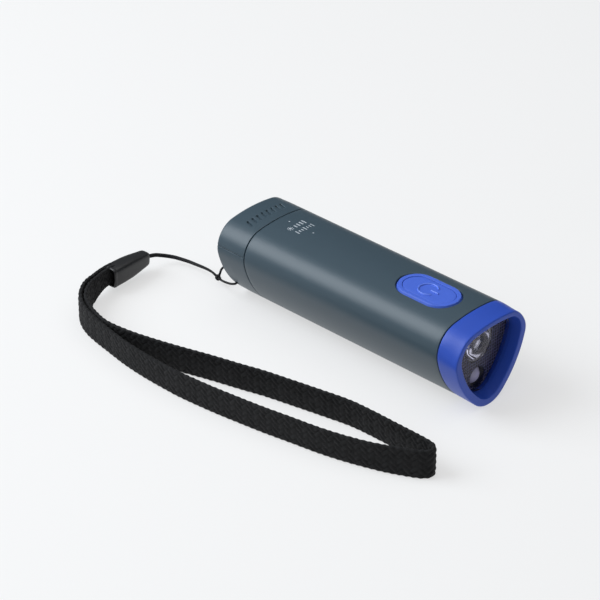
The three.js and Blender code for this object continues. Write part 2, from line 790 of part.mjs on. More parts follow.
piece('button_surround', buttonSurround(), BLUE);
piece('button_pad', buttonPad(), BUTTON_BLUE);
piece('switch_body', switchBody(), BLACK);
piece('switch_plunger', switchPlunger(), BLACK);
piece('inner_chassis', chassis(), BLACK);
piece('driver_board', driverBoard(), GREEN_BOARD);
piece('driver_chip', box(18.4, 22.4, -2.5, 2.5, DRIVER_TOP_Z + GAP, DRIVER_TOP_Z + 1.3), BLACK);
piece('driver_inductor', post(21, 0, DRIVER_TOP_Z - 5.3, DRIVER_TOP_Z - 1.5, 3.2), BLACK);
piece('driver_capacitor', post(28, 0, DRIVER_TOP_Z - 7.4, DRIVER_TOP_Z - 1.5, 2.2), ALUMINIUM);
[-1, 1].forEach((side) => piece(`driver_screw_${side < 0 ? 'left' : 'right'}`, driverScrew(side), STEEL));
const positiveSpring = spring(CARRIER_FRONT_X + GAP, BULKHEAD_X - GAP, 2.2, 0.25, 3);
piece('positive_spring', positiveSpring.translate(0, 0, 17.4), BRASS);
piece('negative_leaf', negativeLeaf(), BRASS);

CELL_PLACES.forEach((place, i) => {
  piece(`cell_${i + 1}`, battery(place), CELL_JACKET);
  piece(`cell_spring_${i + 1}`, cellSpring(place), STEEL);
  piece(`cell_contact_${i + 1}`, cellContact(place), BRASS);
});
piece('battery_carrier', batteryCarrier(), BLACK);

piece('tail_cap_upper', tailCapHalf(true), SLATE);
piece('tail_cap_lower', tailCapHalf(false), SLATE);
piece('cap_spigot', capSpigot(), BLACK);
piece('cap_seal', capSeal(), RED);

const lanyard = new THREE.Group();
piece('lanyard_cord', lanyardCord(), WEBBING, lanyard);
piece('lanyard_ferrule', lanyardFerrule(), BLACK, lanyard);
piece('wrist_strap', wristStrap(), WEBBING, lanyard);

const flashlight = new THREE.Group();
flashlight.add(torch, lanyard);

export default flashlight;
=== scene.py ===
"""The looks of a pocket torch with a wrist lanyard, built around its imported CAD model.

Lengths are in millimetres up to MM, which turns them into metres. +X is the way the light
shines, +Z is up, and the origin is on the floor under the middle of the torch.
"""

import math

import bmesh
import bpy
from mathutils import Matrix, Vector


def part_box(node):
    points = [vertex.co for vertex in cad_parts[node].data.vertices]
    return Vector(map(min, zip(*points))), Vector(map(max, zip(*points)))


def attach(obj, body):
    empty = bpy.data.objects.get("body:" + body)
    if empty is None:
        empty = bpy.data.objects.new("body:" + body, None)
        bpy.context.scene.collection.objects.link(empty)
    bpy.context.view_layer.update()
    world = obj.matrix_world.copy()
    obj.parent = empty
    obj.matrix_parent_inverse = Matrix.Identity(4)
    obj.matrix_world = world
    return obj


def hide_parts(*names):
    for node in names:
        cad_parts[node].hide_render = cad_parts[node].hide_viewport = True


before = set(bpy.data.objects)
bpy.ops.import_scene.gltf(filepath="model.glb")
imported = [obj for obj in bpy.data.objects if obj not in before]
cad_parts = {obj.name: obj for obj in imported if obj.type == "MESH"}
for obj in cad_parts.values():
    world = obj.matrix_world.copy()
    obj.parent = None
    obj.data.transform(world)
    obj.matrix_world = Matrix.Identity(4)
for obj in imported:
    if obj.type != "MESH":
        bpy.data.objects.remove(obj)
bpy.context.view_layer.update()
scene = bpy.context.scene
MM = 0.001

# the section: a flat top between two round corners, and sides down to a round bottom corner
LIFT = 0.4
HALF_WIDTH = 17.0
HEIGHT = 31.0
TOP_CORNER_R = 9.0
BOTTOM_CORNER_R = 9.4
TOP_ARC_R = 60.0
SIDE_ARC_R = 34.5

# along the torch
FRONT_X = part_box("front_bezel")[1].x / MM
REAR_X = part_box("tail_cap_lower")[0].x / MM
BODY_REAR_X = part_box("body_shell")[0].x / MM
BODY_FRONT_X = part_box("body_shell")[1].x / MM
SHELL_WALL = 1.6
SURROUND_FLANGE = 0.8
GAP = 0.3
BEZEL_SEAM_X = 44.9
TOP_SLOPE = 0.9

# button
BUTTON_X = 26.55
BUTTON_LENGTH = 23.6
BUTTON_WIDTH = 13.8
BUTTON_TOP_Z = 31.75 + LIFT
RIM_WIDTH = 1.8
SIGN_X = BUTTON_X - 0.4

# optics
LENS_FRONT_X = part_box("lens_window")[1].x / MM
LENS_REAR_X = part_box("lens_window")[0].x / MM
MAIN_Z = 20.6 + LIFT
SIDE_Z = 7.8 + LIFT
MAIN_R = 6.5
SIDE_R = 3.3
OPTIC_FRONT_X = LENS_REAR_X - GAP

# lanyard: the route of the doubled cord, from the knot to the ferrule
STRAND_R = 0.4
LAID_ROUTE = [
    (-62.1, -7.8, 3.0), (-65.6, -7.1, 3.4), (-69.0, -6.9, 3.4), (-73.2, -6.8, 3.0),
    (-77.4, -6.9, 2.7), (-80.4, -7.4, 2.6), (-82.9, -8.2, 2.7), (-84.9, -9.6, 3.0),
    (-86.2, -11.5, 3.6), (-86.9, -13.7, 4.4), (-87.0, -17.2, 5.4),
]
EYE = (-52.1, -7.9, 7.2)
KNOT = Vector((-62.1, -7.8, 3.0))
TWIST_STEP = 0.3
TWIST_PITCH = 130.0
FIRST_TURN = math.radians(40)
STRAND_OFFSET = 0.32
STRAP_WIDTH = 10.6
STRAP_THICK = 1.4
STRAP_LOW_Z = 0.05
STRAP_LEAN = 1.0
SQUEEZED_LOW_Z = 2.6
SQUEEZED_HIGH_Z = 9.6
# the strap stands on its edge: out of the ferrule, round the bend, to the fold and back
STRAP_ROUTE = [
    (-88.0, -33.8), (-88.0, -36.5), (-87.6, -39.5), (-86.6, -43.3), (-84.6, -49.0),
    (-81.2, -54.0), (-77.4, -57.4), (-72.0, -60.1), (-66.0, -61.8), (-60.0, -63.0),
    (-51.0, -64.6), (-43.0, -65.5), (-35.5, -65.9), (-28.0, -66.0), (-21.5, -65.9),
    (-9.0, -64.8), (3.0, -63.2), (12.2, -61.8), (21.9, -60.0), (32.9, -58.0),
    (43.2, -55.3), (52.7, -51.9), (61.0, -47.8), (64.4, -45.7), (65.9, -43.6),
    (65.4, -41.6), (63.3, -40.5), (58.2, -40.1), (47.6, -39.8), (38.0, -39.8),
    (29.0, -40.3), (18.0, -42.4), (7.0, -44.7), (-2.6, -46.8), (-11.0, -49.2),
    (-21.8, -52.1), (-32.4, -55.3), (-43.3, -58.2), (-52.0, -60.0), (-60.5, -60.8),
    (-65.6, -60.1), (-71.4, -58.4), (-76.4, -55.9), (-79.9, -52.8), (-83.0, -48.1),
    (-85.0, -42.7), (-86.0, -39.2), (-86.4, -36.5), (-86.4, -33.8),
]
FERRULE_MOUTH = Vector((-86.3, -36.3, 5.7))
FERRULE_NOSE = Vector((-86.9, -17.7, 5.6))

# camera
CAMERA_AZIMUTH = math.radians(43.29)
CAMERA_ELEVATION = math.radians(31.91)
CAMERA_DISTANCE = 907.8
CAMERA_TARGET = Vector((-21.12, -10.09, 12.4))
CAMERA_LENS = 163.3

# lighting, with places and sizes in metres
HORIZON = (0.16, 0.175, 0.19)
ZENITH = (1.0, 1.0, 1.0)
WORLD_STRENGTH = 0.55
KEY_WATTS = 13.0
KEY_PLACE = (-0.62, -0.55, 0.72)
KEY_AIM = (-0.02, -0.02, 0)
KEY_SIZE = (0.75, 0.85)
KEY_COLOUR = (0.9, 0.95, 1)
TOP_WATTS = 12.0
TOP_PLACE = (0.2, -0.05, 1.6)
TOP_SIZE = (2.6, 2.6)
FLOOR_REACH = 3.0
FLOOR_TONE = (0.29, 0.29, 0.29)
FLOOR_GLOW = 0.575  # the paper is lit from below as well, which leaves only faint shadows


# ---------------- camera, light and floor
def place_camera():
    back = Vector((
        math.sin(CAMERA_AZIMUTH) * math.cos(CAMERA_ELEVATION),
        -math.cos(CAMERA_AZIMUTH) * math.cos(CAMERA_ELEVATION),
        math.sin(CAMERA_ELEVATION),
    ))
    data = bpy.data.cameras.new("camera")
    data.lens = CAMERA_LENS
    data.sensor_width = 36.0
    data.clip_start = 0.01
    data.clip_end = 20.0
    camera = bpy.data.objects.new("camera", data)
    camera.location = (CAMERA_TARGET + back * CAMERA_DISTANCE) * MM
    camera.rotation_euler = (-back).to_track_quat("-Z", "Y").to_euler()
    scene.collection.objects.link(camera)
    scene.camera = camera


def area_light(name, place, aim, size, watts, colour=(1, 1, 1)):
    data = bpy.data.lights.new(name, "AREA")
    data.shape = "RECTANGLE"
    data.size, data.size_y = size
    data.energy = watts
    data.color = colour
    light = bpy.data.objects.new(name, data)
    light.location = place
    light.rotation_euler = (Vector(aim) - Vector(place)).to_track_quat("-Z", "Y").to_euler()
    scene.collection.objects.link(light)


def make_world():
    """A bright room: white overhead and dimmer towards the horizon."""
    world = bpy.data.worlds.new("studio")
    world.use_nodes = True
    tree = world.node_tree
    background = tree.nodes["Background"]
    background.inputs["Strength"].default_value = WORLD_STRENGTH
    place = tree.nodes.new("ShaderNodeTexCoord")
    split = tree.nodes.new("ShaderNodeSeparateXYZ")
    ramp = tree.nodes.new("ShaderNodeValToRGB")
    tree.links.new(place.outputs["Generated"], split.inputs["Vector"])
    tree.links.new(split.outputs["Z"], ramp.inputs["Fac"])
    tree.links.new(ramp.outputs["Color"], background.inputs["Color"])
    ends = zip(ramp.color_ramp.elements, (0.5, 0.95), (HORIZON, ZENITH))
    for element, position, colour in ends:
        element.position = position
        element.color = (*colour, 1)
    scene.world = world


def make_studio():
    scene.view_settings.view_transform = "Standard"
    scene.view_settings.look = "None"
    make_world()
    area_light("key", KEY_PLACE, KEY_AIM, KEY_SIZE, KEY_WATTS, KEY_COLOUR)
    area_light("top", TOP_PLACE, (0, 0, 0), TOP_SIZE, TOP_WATTS)
    floor_mesh = bpy.data.meshes.new("floor")
    corners = [(x * FLOOR_REACH, y * FLOOR_REACH, 0) for x, y in ((-1, -1), (1, -1), (1, 1), (-1, 1))]
    floor_mesh.from_pydata(corners, [], [(0, 1, 2, 3)])
    floor = bpy.data.objects.new("floor", floor_mesh)
    scene.collection.objects.link(floor)
    paper = finish_of("floor_paper", FLOOR_TONE, 0.9, specular=0.1, mottle=0.004, grain_depth=0.0)
    shader = shader_of(paper)
    shader.inputs["Emission Color"].default_value = (1, 1, 1, 1)
    shader.inputs["Emission Strength"].default_value = FLOOR_GLOW
    floor.data.materials.append(paper)


# ---------------- materials
def shader_of(material):
    return material.node_tree.nodes["Principled BSDF"]


def node(tree, kind, **inputs):
    made = tree.nodes.new(kind)
    for name, value in inputs.items():
        made.inputs[name.replace("_", " ")].default_value = value
    return made


def finish_of(
    name, colour, roughness, metallic=0.0, specular=0.5, mottle=0.05, mottle_size=18.0,
    grain_size=0.35, grain_depth=0.004, rough_spread=0.04, sheen=0.0,
):
    """A surface with slow changes of tone, a fine grain and a little spread in its gloss."""
    material = bpy.data.materials.new(name)
    material.use_nodes = True
    tree = material.node_tree
    link = tree.links.new
    shader = shader_of(material)
    shader.inputs["Metallic"].default_value = metallic
    shader.inputs["Specular IOR Level"].default_value = specular
    shader.inputs["Sheen Weight"].default_value = sheen
    place = tree.nodes.new("ShaderNodeTexCoord")
    slow = node(tree, "ShaderNodeTexNoise", Scale=1 / (mottle_size * MM), Detail=3.0)
    link(place.outputs["Object"], slow.inputs["Vector"])
    tone = tree.nodes.new("ShaderNodeMix")
    tone.data_type = "RGBA"
    tone.inputs["A"].default_value = (*(c * (1 - mottle) for c in colour), 1)
    tone.inputs["B"].default_value = (*(min(c * (1 + mottle), 1) for c in colour), 1)
    link(slow.outputs["Fac"], tone.inputs["Factor"])
    link(tone.outputs["Result"], shader.inputs["Base Color"])
    fine = node(tree, "ShaderNodeTexNoise", Scale=1 / (grain_size * MM), Detail=2.0)
    link(place.outputs["Object"], fine.inputs["Vector"])
    gloss = tree.nodes.new("ShaderNodeMapRange")
    gloss.inputs["To Min"].default_value = roughness - rough_spread
    gloss.inputs["To Max"].default_value = roughness + rough_spread
    link(fine.outputs["Fac"], gloss.inputs["Value"])
    link(gloss.outputs["Result"], shader.inputs["Roughness"])
    if grain_depth > 0:
        bump = node(tree, "ShaderNodeBump", Strength=1.0, Distance=grain_depth * MM)
        link(fine.outputs["Fac"], bump.inputs["Height"])
        link(bump.outputs["Normal"], shader.inputs["Normal"])
    return material


def clear_plastic(name, tint, roughness, ior=1.49, transmission=1.0):
    """Moulded plastic that lets light through, with faint changes of tone in it."""
    material = finish_of(name, tint, roughness, mottle=0.02, grain_depth=0.0, rough_spread=0.01)
    shader = shader_of(material)
    shader.inputs["Transmission Weight"].default_value = transmission
    shader.inputs["IOR"].default_value = ior
    return material


def yarn(name, dark, light, roughness, fibre_size):
    """Black yarn: fine fibres, lighter in places, with a soft sheen."""
    material = finish_of(
        name, dark, roughness, specular=0.12, mottle=0.3, mottle_size=2.2,
        grain_size=fibre_size, grain_depth=0.06, rough_spread=0.12, sheen=0.03,
    )
    tone = next(n for n in material.node_tree.nodes if n.type == "MIX")
    tone.inputs["B"].default_value = (*light, 1)
    return material


# ---------------- meshes
def step(value, low, high):
    """A smooth step from 0 to 1 as value goes from low to high."""
    t = max(0.0, min(1.0, (value - low) / (high - low)))
    return t * t * (3 - 2 * t)


def new_piece(name, points, faces, material, body, sharp=40.0):
    """A smooth-shaded piece from points in millimetres, with its normals facing out."""
    mesh = bpy.data.meshes.new(name)
    mesh.from_pydata([(x * MM, y * MM, z * MM) for x, y, z in points], [], faces)
    work = bmesh.new()
    work.from_mesh(mesh)
    bmesh.ops.remove_doubles(work, verts=work.verts, dist=1e-7)
    bmesh.ops.dissolve_degenerate(work, dist=1e-8, edges=work.edges)
    bmesh.ops.recalc_face_normals(work, faces=work.faces)
    work.to_mesh(mesh)
    work.free()
    mesh.polygons.foreach_set("use_smooth", [True] * len(mesh.polygons))
    mesh.set_sharp_from_angle(angle=math.radians(sharp))
    mesh.materials.append(material)
    obj = bpy.data.objects.new(name, mesh)
    scene.collection.objects.link(obj)
    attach(obj, body)
    return obj


def apply_modifiers(obj):
    graph = bpy.context.evaluated_depsgraph_get()
    mesh = bpy.data.meshes.new_from_object(obj.evaluated_get(graph))
    obj.modifiers.clear()
    obj.data = mesh


def rounded(corners, steps=4, closed=True):
    """A 2D outline from (a, b, radius) corners, each rounded off by that radius."""
    points = []
    count = len(corners)
    for i, (a, b, radius) in enumerate(corners):
        here = Vector((a, b))
        if radius <= 0 or (not closed and i in (0, count - 1)):
            points.append((a, b))
            continue
        before = (Vector(corners[i - 1][:2]) - here).normalized()
        after = (Vector(corners[(i + 1) % count][:2]) - here).normalized()
        half_angle = before.angle(after) / 2
        reach = radius / math.tan(half_angle)
        start, end = here + before * reach, here + after * reach
        for k in range(steps + 1):
            t = k / steps
            point = start * (1 - t) ** 2 + here * 2 * t * (1 - t) + end * t**2
            points.append(tuple(point))
    return points


def densified(points, spacing, closed=True):
    """The outline with extra points. spacing(a, b) is how far apart they may be at a point."""
    dense = []
    pairs = zip(points, points[1:] + points[:1]) if closed else zip(points, points[1:])
    for (a, b), (c, d) in pairs:
        gap = spacing((a + c) / 2, (b + d) / 2)
        cuts = max(1, math.ceil(math.hypot(c - a, d - b) / gap))
        dense += [(a + (c - a) * k / cuts, b + (d - b) * k / cuts) for k in range(cuts)]
    if not closed:
        dense.append(points[-1])
    return dense


def ring_faces(rings, looped=False):
    """Quads between rings of equal point counts, as index lists into the flat list of points."""
    count = len(rings[0])
    faces = []
    for i in range(len(rings) if looped else len(rings) - 1):
        here, there = i * count, ((i + 1) % len(rings)) * count
        for j in range(count):
            k = (j + 1) % count
            faces.append((here + j, here + k, there + k, there + j))
    return faces


def flat(rings):
    """The rings' points in one list."""
    return [point for ring in rings for point in ring]


def add_part(points, faces, part):
    """Adds one more closed part to a piece's points and faces."""
    faces += [tuple(len(points) + i for i in face) for face in part[1]]
    points += part[0]


def capped(rings):
    """Points and faces of a tube of rings closed by a fan at each end."""
    points, faces = flat(rings), ring_faces(rings)
    count = len(rings[0])
    for ring, start in ((rings[0], 0), (rings[-1], (len(rings) - 1) * count)):
        middle = len(points)
        points.append(tuple(sum(p[k] for p in ring) / count for k in range(3)))
        faces += [(start + j, start + (j + 1) % count, middle) for j in range(count)]
    return points, faces


# ---------------- the section
def arc_between(first, second, radius):
    """The arc that touches two corner circles from inside, as y, z, radius, start and turn."""
    (y0, z0, r0), (y1, z1, r1) = first, second
    apart = math.hypot(y1 - y0, z1 - z0)
    a, b = radius - r0, radius - r1
    along = (apart**2 + a**2 - b**2) / (2 * apart)
    aside = math.sqrt(a**2 - along**2)
    y = y0 + ((y1 - y0) * along - (z1 - z0) * aside) / apart
    z = z0 + ((z1 - z0) * along + (y1 - y0) * aside) / apart
    start, end = math.atan2(z0 - z, y0 - y), math.atan2(z1 - z, y1 - y)
    return y, z, radius, start, (end - start) % (2 * math.pi)


def section_arcs():
    """The six arcs of the section, anticlockwise as seen from the front."""
    side, top = HALF_WIDTH - TOP_CORNER_R, HEIGHT - TOP_CORNER_R + LIFT
    corners = [
        (side, top, TOP_CORNER_R),
        (-side, top, TOP_CORNER_R),
        (0.0, BOTTOM_CORNER_R + LIFT, BOTTOM_CORNER_R),
    ]
    spans = (TOP_ARC_R, SIDE_ARC_R, SIDE_ARC_R)
    between = [arc_between(corners[i], corners[(i + 1) % 3], spans[i]) for i in range(3)]
    arcs = []
    for i, (y, z, r) in enumerate(corners):
        before, after = between[i - 1], between[i]
        start = before[3] + before[4]
        arcs.append((y, z, r, start, (after[3] - start) % (2 * math.pi)))
        arcs.append(after)
    return arcs


ARCS = section_arcs()
TOP_ARC = ARCS[1]


def stations(spacing):
    """Places round the section, as (arc centre y, z, radius, angle). spacing(y, z) is how far
    apart they are at a point."""
    found = []
    for y, z, r, start, turn in ARCS:
        angle = 0.0
        marks = []
        while angle < turn:
            marks.append(angle)
            gap = spacing(y + r * math.cos(start + angle), z + r * math.sin(start + angle))
            angle += gap / r
        stretch = turn / angle
        found += [(y, z, r, start + mark * stretch) for mark in marks]
    return found


def at(station, inset):
    """The y and z of a station, pulled in from the surface by inset."""
    y, z, r, angle = station
    return y + (r - inset) * math.cos(angle), z + (r - inset) * math.sin(angle)


def section_rings(profile, places, push=None):
    """Rings over the section from (x, inset) pairs. push(x, y, z) is a further inset."""
    rings = []
    for x, inset in profile:
        ring = []
        for place in places:
            y, z = at(place, inset)
            if push is not None:
                y, z = at(place, inset + push(x, y, z))
            ring.append((x, y, z))
        rings.append(ring)
    return rings


def top_z(y, inset=0.0):
    """The height of the crowned top at y."""
    centre_y, centre_z, r = TOP_ARC[:3]
    return centre_z + math.sqrt((r - inset) ** 2 - (y - centre_y) ** 2)


def even(gap):
    """The same spacing everywhere."""
    return lambda a, b: gap


# ---------------- stadium shapes
def stadium_edge(x, y, length, width, offset):
    """The point nearest to (x, y) on the edge, moved out by offset, of a stadium at the button."""
    radius = width / 2
    half = length / 2 - radius
    spine = max(-half, min(half, x - BUTTON_X))
    away = Vector((x - BUTTON_X - spine, y)).normalized()
    reach = radius + offset
    return BUTTON_X + spine + away.x * reach, away.y * reach


def stadium(length, width, inset):
    """Points round a stadium pulled in by inset, evenly spaced along its own edge."""
    count = 160
    radius = width / 2
    half = length / 2 - radius
    straight, bend = 2 * half, math.pi * radius
    points = []
    for k in range(count):
        s = (k + 0.5) / count * 2 * (straight + bend)
        side = -1 if s < straight + bend else 1
        s %= straight + bend
        if s < straight:
            x, y, nx, ny = -half + s, -radius, 0.0, -1.0
        else:
            angle = -math.pi / 2 + (s - straight) / radius
            nx, ny = math.cos(angle), math.sin(angle)
            x, y = half + radius * nx, radius * ny
        x, y, nx, ny = (x, y, nx, ny) if side < 0 else (-x, -y, -nx, -ny)
        points.append((BUTTON_X + x - nx * inset, y - ny * inset))
    return points


def stadium_rings(profile, length, width):
    """Rings round a stadium from (inset, z) pairs."""
    return [[(x, y, z) for x, y in stadium(length, width, inset)] for inset, z in profile]


# ---------------- housing
SHELL_EDGE_R = 0.28
HOLE_LENGTH = BUTTON_LENGTH + 2 * GAP
HOLE_WIDTH = BUTTON_WIDTH + 2 * GAP
# the patch of the top whose mesh is led round the button's hole
PATCH_HALF_LENGTH = 13.6
PATCH_HALF_WIDTH = 8.2
PATCH_STEPS = 17
PATCH_LOOPS = (0.0, 0.3, 0.55, 0.75, 0.9, 1.0)
EDGE_LOOPS = 4


def patch_border(xs, ys):
    """The points (x, y) round the patch, in order."""
    border = [(x, ys[0]) for x in xs] + [(xs[-1], y) for y in ys[1:]]
    border += [(x, ys[-1]) for x in reversed(xs[:-1])]
    return border + [(xs[0], y) for y in reversed(ys[1:-1])]


def patch_loops(border, inset, lip):
    """Loops that lead over the crowned top from the patch's border to lip short of the hole."""
    loops = []
    for t in PATCH_LOOPS:
        loop = []
        for x, y in border:
            hole_x, hole_y = stadium_edge(x, y, HOLE_LENGTH, HOLE_WIDTH, lip)
            py = y + (hole_y - y) * t
            loop.append((x + (hole_x - x) * t, py, top_z(py, inset)))
        loops.append(loop)
    return loops


def edge_loops(border):
    """Loops round the soft upper edge of the hole."""
    loops = []
    for k in range(1, EDGE_LOOPS + 1):
        turn = k / EDGE_LOOPS * math.pi / 2
        offset, drop = SHELL_EDGE_R * (1 - math.sin(turn)), SHELL_EDGE_R * (1 - math.cos(turn))
        loop = []
        for x, y in border:
            px, py = stadium_edge(x, y, HOLE_LENGTH, HOLE_WIDTH, offset)
            loop.append((px, py, top_z(py) - drop))
        loops.append(loop)
    return loops


def shell_profile(marks):
    """The shell's wall, lengthways, as (x, inset) pairs round its closed outline."""
    rear, front, r = BODY_REAR_X, BODY_FRONT_X, SHELL_EDGE_R
    ends = rounded([
        (rear, SHELL_WALL, r), (rear, 0.0, r), (front, 0.0, r), (front, SHELL_WALL, r),
    ])
    middle = len(ends) // 2
    outer = [(x, 0.0) for x in marks]
    inner = [(x, SHELL_WALL) for x in reversed(marks)]
    return ends[:middle] + outer + ends[middle:] + inner


def build_body(material):
    """The shell: a lofted wall with soft ends, and a hole for the button through its top."""
    places = stations(even(0.55))
    columns = [
        i for i, place in enumerate(places)
        if place[2] == TOP_ARC_R and abs(at(place, 0)[0]) < PATCH_HALF_WIDTH
    ]
    first, last = columns[0], columns[-1]
    pitch = 2 * PATCH_HALF_LENGTH / PATCH_STEPS
    xs = [BUTTON_X - PATCH_HALF_LENGTH + pitch * k for k in range(PATCH_STEPS + 1)]
    profile = shell_profile([BODY_REAR_X + 2.0, *xs, BODY_FRONT_X - 2.0])
    rings = section_rings(profile, places)
    points, faces = flat(rings), []
    for i, face in enumerate(ring_faces(rings, looped=True)):
        row, column = divmod(i, len(places))
        ends = profile[row][0], profile[(row + 1) % len(profile)][0]
        in_length = min(ends) >= xs[0] and max(ends) <= xs[-1]
        if not (in_length and first <= column < last):
            faces.append(face)
    hole_rings = []
    for inset, lip in ((0.0, SHELL_EDGE_R), (SHELL_WALL, 0.0)):
        ys = [at(place, inset)[0] for place in places[first : last + 1]]
        border = patch_border(xs, ys)
        loops = patch_loops(border, inset, lip)
        if lip > 0:
            loops += edge_loops(border)
        add_part(points, faces, (flat(loops), ring_faces(loops)))
        hole_rings.append(loops[-1])
    add_part(points, faces, (flat(hole_rings), ring_faces(hole_rings)))
    body = new_piece("torch_body", points, faces, material, "housing", 50)
    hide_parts("body_shell")


def bezel_slope(x, z):
    """How far the bezel's top has come down at x, as it slopes towards the rim."""
    return TOP_SLOPE * step(x, BODY_FRONT_X, FRONT_X) * step(z, HEIGHT - 10.6, HEIGHT - 2.6)


def build_bezel(material):
    """The bright collar, a little flared, with a narrow flat lip and a skirt into the body."""
    seam, skirt = BEZEL_SEAM_X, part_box("front_bezel")[0].x / MM
    outline = [
        (seam, 0.0, 0.3),
        (seam + 4.0, -0.2, 2.0),
        (FRONT_X, -0.4, 0.55),
        (FRONT_X, 2.3, 0.4),
        (LENS_FRONT_X + 1.0, 2.95, 1.0),
        (LENS_FRONT_X - 1.9, 3.0, 0.0),
        (skirt, 3.0, 0.2),
        (skirt, 1.9, 0.3),
        (seam, 1.9, 0.1),
    ]
    slope_reach = 2.4
    places = stations(even(0.5))
    rings = []
    for x, inset in densified(rounded(outline, steps=6), even(1.2)):
        outside = max(0.0, min(1.0, 1 - inset / slope_reach))
        sloped = lambda x, y, z: outside * bezel_slope(x, z)
        rings += section_rings([(x, inset)], places, sloped)
    bezel = new_piece(
        "bezel_ring", flat(rings), ring_faces(rings, True), material, "housing", 50
    )
    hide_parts("front_bezel")


def build_surround(material):
    """The ring that frames the button, with a shallow step down to the pad."""
    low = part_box("button_surround")[0].z / MM
    shoulder = HEIGHT + LIFT - SHELL_WALL - GAP
    top, flange = BUTTON_TOP_Z, -1.2
    outline = [
        (flange, low, 0.1),
        (flange, shoulder, 0.1),
        (0.0, shoulder, 0.1),
        (-0.12, shoulder + 0.5, 0.1),
        (-0.12, top - 1.0, 0.3),
        (0.36, top, 0.25),
        (RIM_WIDTH, top - 0.04, 0.14),
        (RIM_WIDTH, low, 0.1),
    ]
    profile = rounded(outline, steps=5)
    rings = stadium_rings(profile, BUTTON_LENGTH, BUTTON_WIDTH)
    ring = new_piece(
        "button_ring", flat(rings), ring_faces(rings, True), material, "housing", 50
    )
    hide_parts("button_surround")


def build_pad(material, sign_highlight_material):
    """The pad: hollow below, with a flange round its foot and a raised power sign on top."""
    groove = 0.13
    length = BUTTON_LENGTH - 2 * (RIM_WIDTH + groove)
    width = BUTTON_WIDTH - 2 * (RIM_WIDTH + groove)
    flange_top = HEIGHT + LIFT - SHELL_WALL - SURROUND_FLANGE - 2 * GAP
    flange_low, flange_out, hollow = flange_top - 0.7, -0.6, flange_top + 0.6
    top = BUTTON_TOP_Z - 0.14
    outline = [
        (3.4, hollow, 0.0),
        (1.2, hollow, 0.2),
        (1.0, flange_low, 0.1),
        (flange_out, flange_low, 0.1),
        (flange_out, flange_top, 0.1),
        (0.0, flange_top, 0.0),
        (0.0, top - 0.02, 0.16),
        (1.4, top, 0.6),
        (4.4, top - 0.04, 0.0),
    ]
    profile = rounded(outline, steps=5, closed=False)
    points, faces = capped(stadium_rings(profile, length, width))
    pad = new_piece("button_top", points, faces, material, "button", 50)
    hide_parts("button_pad")
    build_power_sign(sign_highlight_material, top - 0.04)


def ribbon(path, half_width, height):
    """Rings of a low rounded ridge that follows a level path of (x, y, z) points."""
    root, steps = Vector((0, 0, 0.25)), 7
    rings = []
    count = len(path)
    for i, here in enumerate(path):
        before = path[max(i - 1, 0)]
        after = path[min(i + 1, count - 1)]
        along = (Vector(after) - Vector(before)).normalized()
        across = Vector((along.y, -along.x, 0))
        ring = []
        for k in range(steps + 1):
            turn = math.pi * k / steps
            ring.append(
                tuple(Vector(here) + across * half_width * math.cos(turn)
                      + Vector((0, 0, height * math.sin(turn))))
            )
        ring.append(tuple(Vector(here) - across * half_width - root))
        ring.append(tuple(Vector(here) + across * half_width - root))
        rings.append(ring)
    return rings


def build_power_sign(material, z):
    """An open ring with a short bar in its gap, which faces the front, in a lighter blue than the
    pad: a painted highlight on its raised strokes.
    """
    radius, half_stroke, height = 3.35, 0.33, 0.42
    bar_start, bar_length, bar_steps = SIGN_X + 1.2, 3.0, 8
    gap, arc_steps = math.radians(36), 56
    sweep = 2 * math.pi - 2 * gap
    arc = []
    for k in range(arc_steps + 1):
        turn = gap + sweep * k / arc_steps
        arc.append((SIGN_X + radius * math.cos(turn), radius * math.sin(turn), z))
    bar = [(bar_start + bar_length * k / bar_steps, 0.0, z) for k in range(bar_steps + 1)]
    points, faces = [], []
    for path in (arc, bar):
        add_part(points, faces, capped(ribbon(path, half_stroke, height)))
    new_piece("power_sign", points, faces, material, "button", 60)


# ---------------- print on the body
def printed(name, shapes, material):
    """Thin ink on the body's crowned top, from flat outlines of (x, y) points."""
    points, faces = [], []
    for shape in shapes:
        start, count = len(points), len(shape)
        for rise in (0.02, -0.1):
            points += [(x, y, top_z(y) + rise) for x, y in shape]
        faces.append(tuple(range(start, start + count)))
        faces.append(tuple(reversed(range(start + count, start + 2 * count))))
        for j in range(count):
            k = (j + 1) % count
            faces.append((start + j, start + count + j, start + count + k, start + k))
    new_piece(name, points, faces, material, "housing", 30)


def bar_shape(x0, x1, y0, y1):
    """A rectangle's outline."""
    return [(x0, y0), (x1, y0), (x1, y1), (x0, y1)]


def disc_shape(x, y, radius):
    count = 14
    turns = [2 * math.pi * k / count for k in range(count)]
    return [(x + radius * math.cos(t), y + radius * math.sin(t)) for t in turns]


def ray_shape(x, y, inner, outer, turn, half):
    """One of a sun's rays, from inner to outer off its centre, as an outline."""
    dx, dy = math.cos(turn), math.sin(turn)
    corners = ((inner, half), (outer, half), (outer, -half), (inner, -half))
    return [(x + dx * out + dy * off, y + dy * out - dx * off) for out, off in corners]


def build_print(material):
    """A plain brightness scale: a small sun, four bars that grow, and a row of ticks."""
    row_x, row_y, tick_x = -32.8, 0.8, -29.3
    shapes = [disc_shape(dot_x, row_y, 0.28) for dot_x in (-36.3, -25.3)]
    sun_y = row_y - 3.2
    shapes.append(disc_shape(row_x, sun_y, 0.5))
    shapes += [ray_shape(row_x, sun_y, 0.75, 1.15, k * math.pi / 4, 0.11) for k in range(8)]
    for k in range(4):
        y = row_y - 1.2 + 1.45 * k
        shapes.append(bar_shape(row_x - 0.5 - 0.22 * k, row_x + 1.1, y, y + 0.5))
    for k in range(7):
        y = row_y - 3.6 + 1.2 * k
        tall = 1.0 if k % 3 == 0 else 0.6
        shapes.append(bar_shape(tick_x - tall, tick_x + tall, y, y + 0.42))
    printed("brightness_print", shapes, material)


